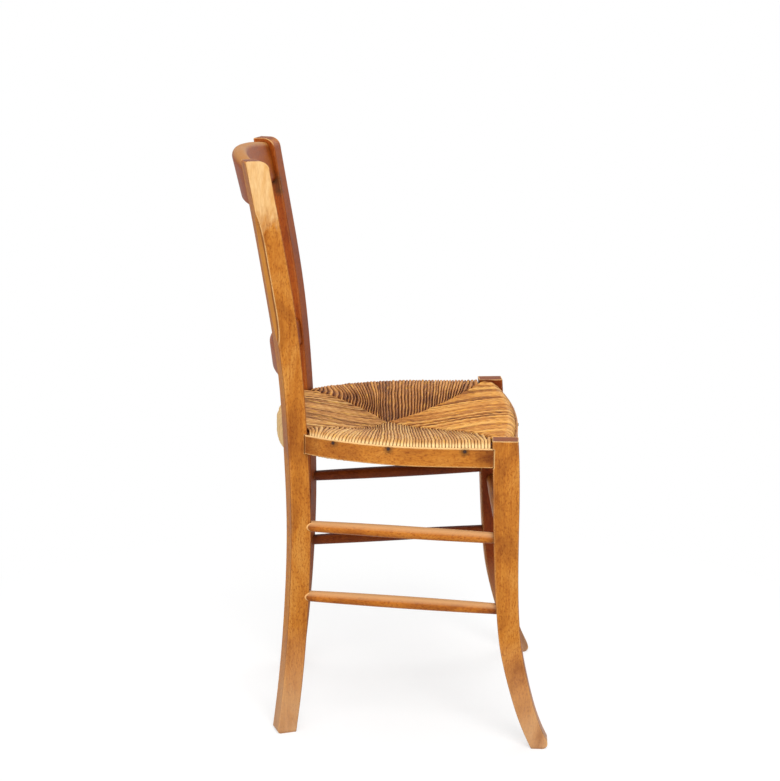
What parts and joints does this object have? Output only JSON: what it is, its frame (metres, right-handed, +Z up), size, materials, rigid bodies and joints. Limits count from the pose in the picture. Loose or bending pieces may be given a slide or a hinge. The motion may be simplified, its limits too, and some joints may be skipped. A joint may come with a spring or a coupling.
{
  "type": "side chair",
  "caption": "Wooden side chair with sabre front legs, curved crest and middle back rails, a dished rush seat edged with bent laths, and round stretchers.",
  "frame": {"origin": "on the floor, in the middle of the chair's overall width and depth", "axes": "+Z up, the chair faces -Y, the sitter's right is -X"},
  "size_m": [0.4246, 0.467, 0.8599],
  "materials": {
    "beech": "worn satin varnish",
    "rush": "matt twisted rush",
    "nail_iron": "dark and dull"
  },
  "bodies": {
    "root": {"rear_post_right": "beech", "rear_post_left": "beech", "front_leg_right": "beech", "front_leg_left": "beech", "crest_rail": "beech", "middle_rail": "beech", "seat_rail_front": "beech", "seat_rail_back": "beech", "seat_rail_side_right": "beech", "seat_rail_side_left": "beech", "rush_front": "rush", "rush_back": "rush", "rush_side_right": "rush", "rush_side_left": "rush", "side_lath_right": "beech", "side_lath_left": "beech", "front_lath": "beech", "lath_nails": "nail_iron", "side_stretcher_upper_right": "beech", "side_stretcher_upper_left": "beech", "side_stretcher_lower_right": "beech", "side_stretcher_lower_left": "beech", "front_stretcher": "beech"}
  },
  "joints": []
}
